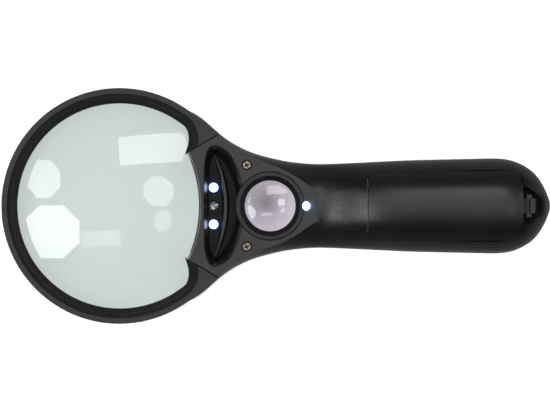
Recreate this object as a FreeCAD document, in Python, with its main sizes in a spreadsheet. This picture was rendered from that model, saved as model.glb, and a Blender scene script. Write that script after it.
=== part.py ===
import FreeCAD, Part
import Sketcher
import math
import os
import re
from FreeCAD import Vector, Placement, Rotation

# Hand-held illuminated magnifier with a banknote (UV) lamp, millimetres.
# Frame: +X runs from the lens to the free end of the handle, +Z is the lamp
# side, z = 0 is the plane that the user-side rim and the handle rest on.

doc = FreeCAD.newDocument("magnifier")
sheet = doc.addObject("Spreadsheet::Sheet", "dims")

DIMS = [
    # ring and main lens
    ("ring_x", -54.5), ("ring_rad", 41.0), ("ring_top", 20.0),
    ("rim_in", 39.05), ("ledge_z", 18.9), ("cove_rad", 37.75), ("lip_rad", 35.75),
    ("split_top", 18.2), ("split_z", 10.5), ("seat_z", 8.1), ("seat_rad", 37.7),
    ("seat_in", 36.1), ("wall", 2.0), ("lens_rad", 37.5), ("lens_sph", 135.0),
    ("lens_edge", 1.8), ("lens_face", 36.0),
    # neck plate and lamp trough
    ("neck_arc", 43.4), ("neck_arc_x", -70.3), ("skirt_z", 12.4),
    ("trough_z", 16.6), ("trough_under", 15.2), ("rib_top", 18.5),
    ("lamp_x", -21.75), ("lamp_pitch", 6.4), ("seam_gap", 0.42), ("seam_floor", 18.6),
    # loupe
    ("loupe_x", -2.1), ("bezel_rad", 12.0), ("bezel_in", 10.6),
    ("barrel_rad", 10.6), ("loupe_rad", 9.75), ("loupe_view", 9.0),
    ("bezel_seat", 16.4), ("loupe_lip", 13.9), ("loupe_sph", 36.0), ("loupe_edge", 1.0),
    ("loupe2_sph", 30.0), ("loupe2_edge", 1.4), ("loupe2_z", 4.6),
    ("spacer_in", 8.85),
    # lamps: 3 mm light-emitting diodes
    ("led_rad", 1.5), ("led_flange", 1.9), ("led_base", 1.0), ("led_tall", 4.6),
    ("board_thick", 1.0), ("board_z", 13.2), ("loupe_lamp_x", 10.55), ("loupe_lamp_tilt", 18.0),
    # screws
    ("screw_x", -10.2), ("screw_y", 14.2), ("screw_head", 1.5), ("screw_head_z", 19.35),
    ("screw_head_tall", 1.3), ("screw_shank", 1.0), ("screw_len", 11.0),
    ("boss_rad", 2.6), ("bore_rad", 1.06), ("counterbore", 1.95),
    ("end_screw_x", 88.4),
    # battery bay: three AAA cells in a triangle
    ("cell_rad", 5.25), ("cell_len", 44.5), ("nub_rad", 1.9), ("nub_len", 0.9),
    ("cell_y", 5.3), ("cell_up_z", 17.0), ("cell_low_z", 7.9),
    ("bay_a", 31.5), ("bay_b", 81.9), ("bulk", 1.2), ("plate_thick", 0.4),
    ("spring_len", 4.9), ("spring_rad", 2.5), ("spring_wire", 0.28),
    # battery door and latch
    ("door_x", 31.8), ("door_end", 85.6), ("door_bow", 0.45), ("door_half", 12.45),
    ("door_gap", 0.28), ("door_thick", 1.8), ("door_edge", 0.4), ("door_step", 0.22),
    ("tab_wide", 4.0), ("tab_reach", 1.9), ("tab_thick", 1.1), ("tab_z", 20.2),
    ("recess_x", 86.1), ("recess_half", 6.95), ("recess_end", 92.3), ("recess_floor", 16.4),
    ("latch_half", 2.55), ("latch_x", 87.9), ("latch_end", 90.2),
    # switch
    ("switch_x", 18.6), ("knob_long", 8.6), ("knob_wide", 6.6), ("knob_low", 0.45),
    ("knob_top", 2.45), ("knob_travel", 6.0), ("track_z", 2.65), ("nub_long", 2.6), ("nub_wide", 2.4),
]
for i, (alias, value) in enumerate(DIMS):
    sheet.set("A%d" % (i + 1), alias)
    sheet.set("B%d" % (i + 1), str(value))
    sheet.setAlias("B%d" % (i + 1), alias)

# Handle sections: station along X, half width, crown above and belly below the split plane.
SECTIONS = [
    (-34.0, 35.0, 24.0, 24.0), (-30.0, 33.0, 24.0, 24.0), (-26.5, 31.0, 24.0, 24.0),
    (-23.0, 28.1, 24.0, 24.0), (-19.5, 25.0, 23.6, 23.0), (-16.1, 22.5, 22.8, 21.8),
    (-12.6, 20.5, 21.4, 20.0), (-9.1, 18.9, 19.2, 17.6), (-5.0, 17.55, 16.4, 15.0),
    (0.4, 16.2, 14.2, 12.4), (4.4, 15.45, 12.4, 11.0), (8.3, 14.95, 11.0, 10.2),
    (14.0, 14.6, 9.85, 9.3), (20.0, 14.7, 10.4, 8.9), (27.0, 15.0, 12.5, 9.3),
    (34.0, 15.35, 14.3, 9.9), (43.0, 15.8, 15.2, 10.35), (57.0, 16.2, 15.5, 10.5),
    (70.8, 16.5, 15.5, 10.5), (78.0, 16.5, 15.4, 10.5), (81.5, 16.0, 15.1, 10.4),
    (84.7, 14.9, 14.3, 10.0), (88.2, 12.9, 12.6, 8.9), (90.6, 10.75, 10.6, 7.5),
    (92.5, 8.1, 8.1, 5.8), (93.9, 5.5, 5.6, 4.0), (94.9, 3.0, 3.1, 2.2), (95.45, 1.3, 1.4, 1.0),
]
row = len(DIMS) + 2
for i, sec in enumerate(SECTIONS):
    for col, word, value in zip("ABCD", ("station", "half", "crown", "belly"), sec):
        cell = "%s%d" % (col, row + i)
        sheet.set(cell, str(value))
        sheet.setAlias(cell, "%s_no_%02d" % (word, i))
doc.recompute()
D = {alias: float(sheet.get(alias)) for alias, _ in DIMS}
SEC = [tuple(float(sheet.get("%s_no_%02d" % (w, i))) for w in ("station", "half", "crown", "belly"))
       for i in range(len(SECTIONS))]

TERM = re.compile(r"([+-]?)\s*(?:(\d+\.?\d*)|([A-Za-z_]\w*))")


def val(e):
    """A number, or a sum of sheet names and numbers such as 'seat_z+lens_edge'."""
    if not isinstance(e, str):
        return float(e)
    total = 0.0
    for sign, num, name in TERM.findall(e):
        v = float(num) if num else D[name]
        total += -v if sign == "-" else v
    return total


def expr(e):
    return re.sub(r"([A-Za-z_]\w*)", r"dims.\1", e)


def bind(obj, prop, e):
    if isinstance(e, str):
        obj.setExpression(prop, expr(e))


def place(obj, x=0.0, y=0.0, z=0.0, rot=None):
    obj.Placement = Placement(Vector(val(x), val(y), val(z)), rot or Rotation())
    for axis, e in zip("xyz", (x, y, z)):
        if isinstance(e, str):
            obj.setExpression("Placement.Base.%s" % axis, expr(e))
    return obj


def plane(body, role):
    for f in body.Origin.OriginFeatures:
        if f.Role == role:
            return f
    raise ValueError(role)


def new_body(label):
    b = doc.addObject("PartDesign::Body", label)
    b.Label = label
    return b


def new_sketch(body, role, name):
    s = body.newObject("Sketcher::SketchObject", name)
    s.AttachmentSupport = (plane(body, role), [""])
    s.MapMode = "FlatFace"
    return s


def add_circle(s, x, y, rad):
    g = s.addGeometry(Part.Circle(Vector(x, y, 0), Vector(0, 0, 1), val(rad)), False)
    c = s.addConstraint(Sketcher.Constraint("Radius", g, val(rad)))
    bind(s, "Constraints[%d]" % c, rad)
    if x == 0 and y == 0:
        s.addConstraint(Sketcher.Constraint("Coincident", g, 3, -1, 1))
    return g


def add_poly(s, pts):
    """Closed polygon in the first quadrant; every corner is held by its two distances."""
    n = len(pts)
    first = s.GeometryCount
    for i in range(n):
        a, b = pts[i], pts[(i + 1) % n]
        s.addGeometry(Part.LineSegment(Vector(val(a[0]), val(a[1]), 0), Vector(val(b[0]), val(b[1]), 0)), False)
    for i in range(n):
        s.addConstraint(Sketcher.Constraint("Coincident", first + i, 2, first + (i + 1) % n, 1))
    for i, (a, b) in enumerate(pts):
        for word, e in (("DistanceX", a), ("DistanceY", b)):
            v = val(e)
            if abs(v) < 1e-9:
                s.addConstraint(Sketcher.Constraint("PointOnObject", first + i, 1, -2 if word == "DistanceX" else -1))
            else:
                c = s.addConstraint(Sketcher.Constraint(word, -1, 1, first + i, 1, v))
                bind(s, "Constraints[%d]" % c, e)


def add_rect(s, wide, tall):
    """Rectangle centred on the sketch origin."""
    w, t = val(wide) / 2, val(tall) / 2
    first = s.GeometryCount
    c = [(-w, -t), (w, -t), (w, t), (-w, t)]
    for i in range(4):
        a, b = c[i], c[(i + 1) % 4]
        s.addGeometry(Part.LineSegment(Vector(a[0], a[1], 0), Vector(b[0], b[1], 0)), False)
    for i in range(4):
        s.addConstraint(Sketcher.Constraint("Coincident", first + i, 2, first + (i + 1) % 4, 1))
    for i in (0, 2):
        s.addConstraint(Sketcher.Constraint("Horizontal", first + i))
    for i in (1, 3):
        s.addConstraint(Sketcher.Constraint("Vertical", first + i))
    s.addConstraint(Sketcher.Constraint("Symmetric", first, 1, first + 2, 1, -1, 1))
    c = s.addConstraint(Sketcher.Constraint("DistanceX", first, 1, first, 2, 2 * w))
    bind(s, "Constraints[%d]" % c, wide)
    c = s.addConstraint(Sketcher.Constraint("DistanceY", first + 1, 1, first + 1, 2, 2 * t))
    bind(s, "Constraints[%d]" % c, tall)


def revolved(label, pts, x=0.0, y=0.0, z=0.0, rot=None):
    """Body of revolution about its own Z: corners are (radius, height)."""
    b = new_body(label)
    s = new_sketch(b, "XZ_Plane", label + "_profile")
    add_poly(s, pts)
    doc.recompute()
    r = b.newObject("PartDesign::Revolution", label + "_turn")
    r.Profile = s
    r.ReferenceAxis = (s, ["V_Axis"])
    r.Angle = 360.0
    doc.recompute()
    place(b, x, y, z, rot)
    return b


def plate(label, wide, tall, thick, x, y, z, holes=(), rot=None, corner=None):
    """Rectangular plate centred on x, y with its underside at z, with round holes."""
    b = new_body(label)
    s = new_sketch(b, "XY_Plane", label + "_outline")
    add_rect(s, wide, tall)
    doc.recompute()
    p = b.newObject("PartDesign::Pad", label + "_pad")
    p.Profile = s
    p.Length = val(thick)
    bind(p, "Length", thick)
    doc.recompute()
    if holes:
        before = p.Shape.Volume
        h = new_sketch(b, "XY_Plane", label + "_holes")
        for hx, hy, hr in holes:
            add_circle(h, hx, hy, hr)
        doc.recompute()
        k = b.newObject("PartDesign::Pocket", label + "_drill")
        k.Profile = h
        k.Type = "ThroughAll"
        k.Midplane = True
        doc.recompute()
        if k.Shape.Volume >= before - 1e-6:
            raise RuntimeError(label + ": the holes cut nothing")
    if corner:
        tip = b.Tip
        edges = ["Edge%d" % (i + 1) for i, e in enumerate(tip.Shape.Edges)
                 if e.BoundBox.ZLength > val(thick) - 1e-6 and e.BoundBox.XLength < 1e-6 and len(e.Vertexes) == 2
                 and e.Curve.TypeId == "Part::GeomLine"]
        f = b.newObject("PartDesign::Fillet", label + "_corners")
        f.Base = (tip, edges)
        f.Radius = corner
        doc.recompute()
    place(b, x, y, z, rot)
    return b


def feature(label, shape, placement=None):
    f = doc.addObject("Part::Feature", label)
    f.Label = label
    f.Shape = shape
    if placement is not None:
        f.Placement = placement
    return f


def cyl(r, z0, z1, x=0.0, y=0.0):
    return Part.makeCylinder(r, z1 - z0, Vector(x, y, z0))


def box(x0, x1, y0, y1, z0, z1):
    return Part.makeBox(x1 - x0, y1 - y0, z1 - z0, Vector(x0, y0, z0))


def prism(pts, z0, z1):
    w = Part.makePolygon([Vector(a, b, z0) for a, b in pts] + [Vector(pts[0][0], pts[0][1], z0)])
    return Part.Face(w).extrude(Vector(0, 0, z1 - z0))


def turned(pts, x, arcs=()):
    """Solid of revolution about the vertical through x; arcs maps a corner's number to the middle point of the edge after it."""
    arcs = dict(arcs)
    edges = []
    n = len(pts)
    for i in range(n):
        a = Vector(pts[i][0], 0, pts[i][1])
        b = Vector(pts[(i + 1) % n][0], 0, pts[(i + 1) % n][1])
        if i in arcs:
            edges.append(Part.Arc(a, Vector(arcs[i][0], 0, arcs[i][1]), b).toShape())
        else:
            edges.append(Part.LineSegment(a, b).toShape())
    s = Part.Face(Part.Wire(edges)).revolve(Vector(0, 0, 0), Vector(0, 0, 1), 360)
    s.translate(Vector(x, 0, 0))
    return s


POWER = 2.5
AROUND = 28
X0 = D["ring_x"]
SZ = D["split_z"]


def section(x, half, crown, belly):
    pts = []
    for k in range(AROUND):
        a = 2 * math.pi * k / AROUND
        c, s = math.cos(a), math.sin(a)
        y = math.copysign(abs(c) ** (2 / POWER), c) * half if abs(c) > 1e-9 else 0.0
        z = math.copysign(abs(s) ** (2 / POWER), s) * (crown if s > 0 else belly) if abs(s) > 1e-9 else 0.0
        pts.append(Vector(x, y, SZ + z))
    b = Part.BSplineCurve()
    b.interpolate(Points=pts, PeriodicFlag=True, Parameters=[float(k) for k in range(AROUND + 1)])
    return Part.Wire([b.toShape()])


def handle_solid(inset, start, stop):
    """The handle's envelope, drawn in by inset, between two stations."""
    secs = []
    for x, half, crown, belly in SEC:
        if start - 1e-6 <= x <= stop + 1e-6 and half - inset > 1.0:
            secs.append(section(x, half - inset, crown - inset, belly - inset))
    return Part.makeLoft(secs, True, False)


outer = handle_solid(0.0, -34.0, 96.0)
CUT_X = 14.6
outer = outer.cut(box(-60, CUT_X, -60, 60, D["ring_top"], 60)).cut(box(-60, 110, -60, 60, -60, 0.0))
W = D["wall"]
inner = handle_solid(W, -30.0, 94.0)
inner = inner.cut(box(-60, CUT_X, -60, 60, D["ring_top"] - W, 60)).cut(box(-60, 110, -60, 60, -60, W - 0.2))
STEP_X = 6.0     # where the parting line steps down from the plate to the middle of the handle
ST = D["split_top"]

# Outline that the neck plate and the ring share at the seams.
DX, DY = 0.8624, 0.5062
GX, GY = -DY * D["seam_gap"] / 2, DX * D["seam_gap"] / 2


def handle_side(shift):
    """Region on the handle's side of the two slanted seams; shift > 0 grows it across the seam."""
    ox, oy = -DY * shift, DX * shift
    p0 = (-29.4 - 4.2 * DX + ox, 19.4 - 4.2 * DY + oy)
    p3 = (-20.2 + 30 * DX + ox, 24.8 + 30 * DY + oy)
    return [p0, p3, (120, p3[1]), (120, -p3[1]), (p3[0], -p3[1]), (p0[0], -p0[1])]


G = D["seam_gap"] / 2
H_in = prism(handle_side(-G), -5, 40)
# the ring's ends come close to the handle's side low down, so that the seam is a groove and not a slit
H_out = prism(handle_side(0.10 - G), -5, D["seam_floor"]).fuse(prism(handle_side(G), D["seam_floor"] - 0.01, 40))

# ---------------------------------------------------------------- user-side housing
R = D["ring_rad"]
ring_low = turned([(D["seat_in"] - 6, 0), (R - 0.9, 0), (R, 0.9), (R, ST), (D["seat_in"] - 6, ST)], X0,
                  {1: (R - 0.9 * (1 - math.sin(math.pi / 4)), 0.9 * (1 - math.cos(math.pi / 4)))})
front = ring_low.fuse(outer.common(box(-60, 110, -60, 60, -1, ST)))
front = front.cut(box(STEP_X, 110, -60, 60, SZ, 60))
ring_wall = cyl(D["seat_rad"] + W, -5, ST + 5, X0)
front_void = handle_solid(W, -30.0, 94.0).cut(box(-60, 110, -60, 60, -60, W - 0.2)).cut(ring_wall)
front = front.cut(front_void)
# opening and seat of the main lens: sloped mouth, bore, seat
bore = turned([(0, -1), (D["seat_in"] + 2.1, -1), (D["seat_in"] + 1.9, 0), (D["seat_in"], 4.2), (D["seat_in"], D["seat_z"]),
               (D["seat_rad"], D["seat_z"]), (D["seat_rad"], ST + 1), (0, ST + 1)], X0)
front = front.cut(bore)
# the ring's wall is cut down under the lamp trough
front = front.cut(box(-34, 4, -22.2, 22.2, SZ, ST + 1).common(cyl(D["seat_rad"] + W + 1.0, -5, 30, X0)))
# bosses, bulkheads
bosses = []
for sgn in (1, -1):
    bosses.append(cyl(D["boss_rad"], W - 0.4, SZ - 0.02, D["screw_x"], sgn * D["screw_y"]))
bosses.append(cyl(D["boss_rad"], 0.9, SZ - 0.02, D["end_screw_x"], 0))
cavity = inner
for x0 in (D["bay_a"] - D["bulk"], D["bay_b"]):
    bosses.append(box(x0, x0 + D["bulk"], -30, 30, -1, SZ).common(handle_solid(W - 0.3, -30, 94)))
# ribs that cradle the lower cell
for x0 in (45.0, 72.0):
    rib = box(x0, x0 + 1.2, -13, 13, -1, 6.5).common(handle_solid(W - 0.3, -30, 94)).cut(
        Part.makeCylinder(D["cell_rad"] + 0.12, 10, Vector(x0 - 2, 0, D["cell_low_z"]), Vector(1, 0, 0)))
    bosses.append(rib)
# loupe sleeve
sleeve = cyl(D["barrel_rad"] + 1.5, 0.6, SZ, D["loupe_x"])
for b in bosses + [sleeve]:
    front = front.fuse(b)
front = front.cut(cyl(D["barrel_rad"] + 0.08, D["loupe2_z"] - 0.6, 30, D["loupe_x"]))
mouth = turned([(0, -1), (10.6, -1), (10.3, 0), (D["loupe_view"], 2.4), (D["loupe_view"], 8), (0, 8)], D["loupe_x"])
front = front.cut(mouth)
front = front.fuse(turned([(D["loupe_view"], D["loupe2_z"] - 1.6), (D["barrel_rad"] + 0.3, D["loupe2_z"] - 1.6),
                           (D["barrel_rad"] + 0.3, D["loupe2_z"] - 0.6), (D["barrel_rad"] - 0.75, D["loupe2_z"] - 0.6),
                           (D["barrel_rad"] - 0.75, D["loupe2_z"]), (D["loupe_view"], D["loupe2_z"])], D["loupe_x"]))
for sgn in (1, -1):
    front = front.cut(cyl(D["bore_rad"], 6.5, SZ + 1, D["screw_x"], sgn * D["screw_y"]))
front = front.cut(Part.makeCylinder(0.8, 6, Vector(D["bay_a"] - 4, -9.8, 8.6), Vector(1, 0, 0)))
# end screw: head sunk from the user side
front = front.cut(cyl(D["bore_rad"], -1, SZ + 1, D["end_screw_x"], 0))
front = front.cut(cyl(D["counterbore"], -1, 4.2, D["end_screw_x"], 0))
# switch track and slot
SX = D["switch_x"]
KL, KT = D["knob_long"], D["knob_travel"]
# a pad inside, on which the switch body stands, then the sliding track and the slot through both
pad_lo = box(SX - 6.5, SX + 6.5 + KT, -5.4, 5.4, 1.6, 4.3).common(handle_solid(W - 0.3, -30, 94))
front = front.fuse(pad_lo)
front = front.cut(box(SX - KL / 2 - 0.35, SX + KL / 2 + KT + 0.35, -D["knob_wide"] / 2 - 0.3, D["knob_wide"] / 2 + 0.3, -1, D["track_z"]))
front = front.cut(box(SX - D["nub_long"] / 2 - 0.25, SX + D["nub_long"] / 2 + KT + 0.25, -D["nub_wide"] / 2 - 0.2, D["nub_wide"] / 2 + 0.2, -1, 8))
feature("front_housing", front)

# ---------------------------------------------------------------- C-shaped lens ring
LR, CR, LZ, RT = D["lip_rad"], D["cove_rad"], D["ledge_z"], D["ring_top"]
SR = D["seat_rad"] - 0.08
edge_top = D["seat_z"] + D["lens_edge"]
body_out = cyl(R, ST + 0.02, RT, X0).fuse(outer.common(box(-60, 0, -60, 60, ST + 0.02, RT)))
# outline drawn in slightly so that a fine line shows against the housing's flank
outline = outer.common(box(-60, 0, -60, 60, ST + 0.02, RT))
spigot = turned([(LR, 10.3), (D["lens_face"] + 0.1, edge_top + 0.04), (SR, edge_top + 0.04), (SR, ST + 0.5), (LR - 0.0, ST + 0.5)], X0)
raw = body_out.fuse(spigot)
# cove: flat rim, dark step, ledge, then a hollow sweep down to the lip
cove_cut = turned([(0, 10.0), (LR, 10.0), (LR, 11.1), (CR, LZ), (D["rim_in"], LZ), (D["rim_in"] + 0.05, RT + 1), (0, RT + 1)], X0,
                  {2: (LR + 0.42 * (CR - LR), 11.1 + 0.30 * (LZ - 11.1))})
raw = raw.cut(cove_cut)
raw = raw.cut(H_out)


def spline_wire(inner_pts, far, z):
    """Closed outline: a smooth inner edge through the points and three straight sides through the far corners."""
    c = Part.BSplineCurve()
    c.interpolate(Points=[Vector(a, b, z) for a, b in inner_pts])
    es = [c.toShape()]
    seq = [inner_pts[-1]] + far + [inner_pts[0]]
    for a, b in zip(seq[:-1], seq[1:]):
        es.append(Part.LineSegment(Vector(a[0], a[1], z), Vector(b[0], b[1], z)).toShape())
    return Part.Wire(es)


RIM_A = [(-33.2, 34.2), (-31.1, 32.0), (-28.8, 28.9), (-27.35, 25.6), (-27.0, 22.9), (-27.5, 20.6), (-29.0, 18.4)]
LIP_B = [(-35.6, 31.6), (-33.1, 29.0), (-31.3, 26.9), (-30.55, 24.4), (-30.6, 22.0), (-31.0, 20.4), (-32.0, 17.6)]
FAR = [(-16.0, 18.0), (-12.0, 40.0), (-30.0, 44.0)]


def between(t):
    return [(b[0] + t * (a[0] - b[0]), b[1] + t * (a[1] - b[1])) for a, b in zip(RIM_A, LIP_B)]


def shoulder():
    outs = []
    levels = [(11.55, 0.0), (12.4, 0.10), (13.6, 0.26), (15.0, 0.42), (16.6, 0.58), (LZ, 0.72)]
    solid = Part.makeLoft([spline_wire(between(t), FAR, z) for z, t in levels], True, False)
    top = Part.makeLoft([spline_wire(between(1.0), FAR, z) for z in (LZ - 0.5, RT)], True, True)
    return solid.fuse(top)


sh = shoulder()
outline_full = cyl(R, 10.0, RT, X0).fuse(outer.common(box(-60, 0, -60, 60, 10.0, RT)))
low_out = cyl(SR, 10.0, ST + 0.1, X0)
lim = low_out.fuse(outline_full.common(box(-60, 0, -60, 60, ST + 0.02, RT)))
sh = sh.common(lim).cut(H_out)
sh = sh.common(box(-60, 0, 0, 60, 0, 40))
# clear of the lens's outer surface
lens_top = D["seat_z"] + D["lens_edge"] + D["lens_sph"] - math.sqrt(D["lens_sph"] ** 2 - D["lens_face"] ** 2)
sh = sh.cut(Part.makeSphere(D["lens_sph"] + 0.06, Vector(X0, 0, lens_top - D["lens_sph"])))
sh2 = sh.mirror(Vector(0, 0, 0), Vector(0, 1, 0))
lens_ring = raw.fuse(sh).fuse(sh2)
lens_ring = lens_ring.removeSplitter()
feature("lens_ring", lens_ring)

# ---------------------------------------------------------------- lamp-side housing
shell = outer.common(box(STEP_X + 0.02, 110, -60, 60, SZ, 60)).cut(inner)
plate_rear = outer.common(box(-60, STEP_X + 0.03, -60, 60, ST + 0.02, RT))
rear = shell.fuse(plate_rear)
# step wall where the parting line drops
rear = rear.fuse(inner.common(box(STEP_X + 0.02, STEP_X + 1.4, -60, 60, 13.4, 60)).cut(cyl(D["barrel_rad"] + 1.6, 0, 60, D["loupe_x"])).cut(box(-50, 110, -5, 5, 0, 15.9)))
# left edge of the neck plate: a sloping wall, hollow towards the lens
AX = D["neck_arc_x"]
AR = D["neck_arc"]
hollow = Part.makeCone(AR + 0.12, AR + 1.0, 30.0 - D["skirt_z"], Vector(AX, 0, D["skirt_z"]))
hollow = Part.makeCone(AR, AR + 0.86, RT - D["skirt_z"], Vector(AX, 0, D["skirt_z"]))
hollow_up = cyl(AR + 0.86, RT - 0.001, RT + 5, AX)
hollow_dn = cyl(AR, 0, D["skirt_z"] + 0.001, AX)
hollow = hollow.fuse(hollow_up).fuse(hollow_dn)
skirt = cyl(AR + 2.3, D["skirt_z"], ST + 0.5, AX).cut(hollow)
skirt = skirt.common(box(-36, 0, -19.0, 19.0, 0, 40)).common(cyl(D["seat_rad"] - 0.15, 0, 40, X0))


def outline_pts(pts):
    return [(a, b) for a, b in pts] + [(a, -b) for a, b in reversed(pts) if abs(b) > 1e-9 and (a, b) != pts[-1]]


TOP_E = [(-25.0, 0.0), (-24.95, 5.5), (-24.9, 11.0), (-24.6, 15.6), (-23.7, 18.9), (-21.7, 20.6), (-19.3, 19.9),
         (-16.9, 18.2), (-14.9, 15.2), (-13.3, 11.4), (-12.2, 7.6), (-11.6, 3.8), (-11.4, 0.0)]
FLOOR_E = [(-23.3, 0.0), (-23.25, 5.0), (-23.15, 9.8), (-22.9, 13.6), (-22.4, 16.4), (-21.4, 17.9), (-20.0, 17.0),
           (-18.4, 14.8), (-16.9, 12.0), (-15.6, 8.9), (-14.7, 5.9), (-14.2, 2.9), (-14.0, 0.0)]


def ring_curve(pts, z):
    """Closed smooth outline, symmetric about the X axis, from its upper half."""
    allp = pts + [(a, -b) for a, b in reversed(pts[1:-1])]
    c = Part.BSplineCurve()
    c.interpolate(Points=[Vector(a, b, z) for a, b in allp], PeriodicFlag=True,
                  Parameters=[float(k) for k in range(len(allp) + 1)])
    return Part.Wire([c.toShape()])


def blend_pts(t, lo, hi):
    return [(a[0] + t * (b[0] - a[0]), a[1] + t * (b[1] - a[1])) for a, b in zip(lo, hi)]


TZ = D["trough_z"]
levels = [(TZ, -0.12), (TZ + 0.22, 0.18), (TZ + 0.85, 0.42), (TZ + 1.7, 0.62), (TZ + 2.5, 0.80), (TZ + 3.0, 0.95), (TZ + 3.3, 1.10), (TZ + 3.45, 1.28)]
trough = Part.makeLoft([ring_curve(blend_pts(t, FLOOR_E, TOP_E), z) for z, t in levels], True, False)
tub_levels = [(D["trough_under"], 0.55), (ST + 0.4, 1.35)]
tub = Part.makeLoft([ring_curve(blend_pts(t, FLOOR_E, TOP_E), z) for z, t in tub_levels], True, True)
rear = rear.fuse(skirt).fuse(tub)
room = handle_solid(W + 0.08, -30, 94)
rear = rear.fuse(cyl(D["bezel_rad"] + 1.4, D["bezel_seat"] - 1.4, ST + 0.4, D["loupe_x"]).common(room))
# lamp bay under the trough
for sgn in (1, -1):
    rear = rear.fuse(cyl(D["boss_rad"], SZ + 0.02, ST + 0.4, D["screw_x"], sgn * D["screw_y"]).common(room))
rear = rear.fuse(cyl(D["boss_rad"], SZ + 0.02, D["recess_floor"], D["end_screw_x"], 0))
for x0 in (D["bay_a"] - D["bulk"], D["bay_b"]):
    wallp = box(x0, x0 + D["bulk"], -30, 30, SZ + 0.02, 60).common(handle_solid(W - 0.3, -30, 94))
    wallp = wallp.cut(box(x0 - 1, x0 + 3, -12.8, 12.8, 15.0, 60).cut(handle_solid(W + 0.15, -30, 94)))
    if x0 < 50:
        wallp = wallp.cut(box(x0 - 1, x0 + 3, -6.0, 6.0, 19.3, 60))
    rear = rear.fuse(wallp)
rear = rear.cut(Part.makeCylinder(0.7, 6, Vector(D["bay_a"] - 4, 4.0, 13.9), Vector(1, 0, 0)))
rear = rear.cut(trough)


def crescent(lo, hi, z0, z1):
    """Curved rib, tapering to nothing at both ends: lo is its half width at the ends, hi in the middle."""
    def curve(off):
        return Part.Arc(Vector(-21.45 + off * 0.12, 17.6, 0), Vector(-17.55 + off, 0, 0), Vector(-21.45 + off * 0.12, -17.6, 0))
    left, right = curve(-hi), curve(hi)
    w = Part.Wire([left.toShape(), Part.LineSegment(left.EndPoint, right.EndPoint).toShape(),
                   right.toShape(), Part.LineSegment(right.StartPoint, left.StartPoint).toShape()])
    return w


w0, w1 = crescent(0, 1.35, 0, 0), crescent(0, 0.5, 0, 0)
w0.translate(Vector(0, 0, TZ - 0.3))
w1.translate(Vector(0, 0, D["rib_top"]))
rear = rear.fuse(Part.makeLoft([w0, w1], True, True).cut(cyl(D["bezel_rad"] + 0.1, 0, 60, D["loupe_x"])))
rear = rear.cut(hollow.common(box(-60, 0, -60, 60, D["skirt_z"] - 2, 60)))
rear = rear.common(H_in)
# nothing of it reaches under the plate inside the ring's seat
rear = rear.cut(cyl(D["bezel_rad"] + 0.06, D["bezel_seat"], 60, D["loupe_x"]))
rear = rear.cut(cyl(D["barrel_rad"] + 0.08, 0, 60, D["loupe_x"]))
for k in (-1, 0, 1):
    rear = rear.cut(cyl(D["led_rad"] + 0.15, 10, 17.6, D["lamp_x"], k * D["lamp_pitch"]))
for k in (-0.5, 0.5):
    rear = rear.fuse(cyl(0.9, D["board_z"] + D["board_thick"], D["trough_under"] + 0.3, D["lamp_x"] - 0.4, k * 2 * D["lamp_pitch"] * 0.52))
for sgn in (1, -1):
    rear = rear.cut(cyl(D["bore_rad"] + 0.04, 0, 40, D["screw_x"], sgn * D["screw_y"]))
    rear = rear.cut(cyl(D["counterbore"], D["screw_head_z"] - D["screw_head_tall"], 40, D["screw_x"], sgn * D["screw_y"]))
rear = rear.cut(cyl(D["bore_rad"], 0, 15.0, D["end_screw_x"], 0))
# tilted hole for the loupe lamp
tilt = Rotation(Vector(0, 1, 0), -D["loupe_lamp_tilt"])
lamp_at = Placement(Vector(D["loupe_lamp_x"] + 1.05, 0, 14.9), tilt)


def tilted(shape, pl=lamp_at):
    c = shape.copy()
    c.Placement = pl.multiply(c.Placement)
    return c


rear = rear.cut(tilted(cyl(D["led_rad"] + 0.2, 1.02, 12)))
rear = rear.cut(tilted(cyl(D["led_flange"] + 0.15, -4, 1.06)))
rear = rear.cut(tilted(box(-2.9, 2.9, -2.9, 2.9, -6.0, 0.02)))
# opening for the battery door
DXA, DXB, DH, DG = D["door_x"], D["door_end"], D["door_half"], D["door_gap"]


def door_prism(grow, z0, z1):
    a = Vector(DXA - grow, -DH - grow, z0)
    b = Vector(DXB + grow, -DH - grow, z0)
    m = Vector(DXB + D["door_bow"] + grow, 0, z0)
    c = Vector(DXB + grow, DH + grow, z0)
    d = Vector(DXA - grow, DH + grow, z0)
    w = Part.Wire([Part.LineSegment(a, b).toShape(), Part.Arc(b, m, c).toShape(), Part.LineSegment(c, d).toShape(),
                   Part.LineSegment(d, a).toShape()])
    s = Part.Face(w).extrude(Vector(0, 0, z1 - z0))
    corners = [e for e in s.Edges if e.BoundBox.ZLength > 1 and e.BoundBox.XMax > DXB - 1]
    return s.makeFillet(1.2 + grow, corners)


hole = door_prism(0.0, 19.0, 60)
rear = rear.cut(hole)
# crescent finger recess with the latch slot
RX, RH, RE, RF = D["recess_x"], D["recess_half"], D["recess_end"], D["recess_floor"]
rc = Part.BSplineCurve()
rc.interpolate(Points=[Vector(RX, RH, RF), Vector(89.1, 5.35, RF), Vector(91.6, 2.75, RF), Vector(RE, 0, RF),
                       Vector(91.6, -2.75, RF), Vector(89.1, -5.35, RF), Vector(RX, -RH, RF)])
rw = Part.Wire([rc.toShape(), Part.LineSegment(Vector(RX, -RH, RF), Vector(RX - 2.8, -RH, RF)).toShape(),
                Part.LineSegment(Vector(RX - 2.8, -RH, RF), Vector(RX - 2.8, RH, RF)).toShape(),
                Part.LineSegment(Vector(RX - 2.8, RH, RF), Vector(RX, RH, RF)).toShape()])
recess = Part.Face(rw).extrude(Vector(0, 0, 30))
tub2 = prism([(D["bay_b"] + D["bulk"] + 0.2, -8.3), (88.6, -8.3), (92.2, -5.4), (94.5, -5.4), (94.5, 5.4), (92.2, 5.4), (88.6, 8.3),
              (D["bay_b"] + D["bulk"] + 0.2, 8.3)], RF - 1.4, 40).common(handle_solid(W - 0.3, -30, 96))
tub2 = tub2.cut(door_prism(0.0, 19.0, 60))
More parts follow.
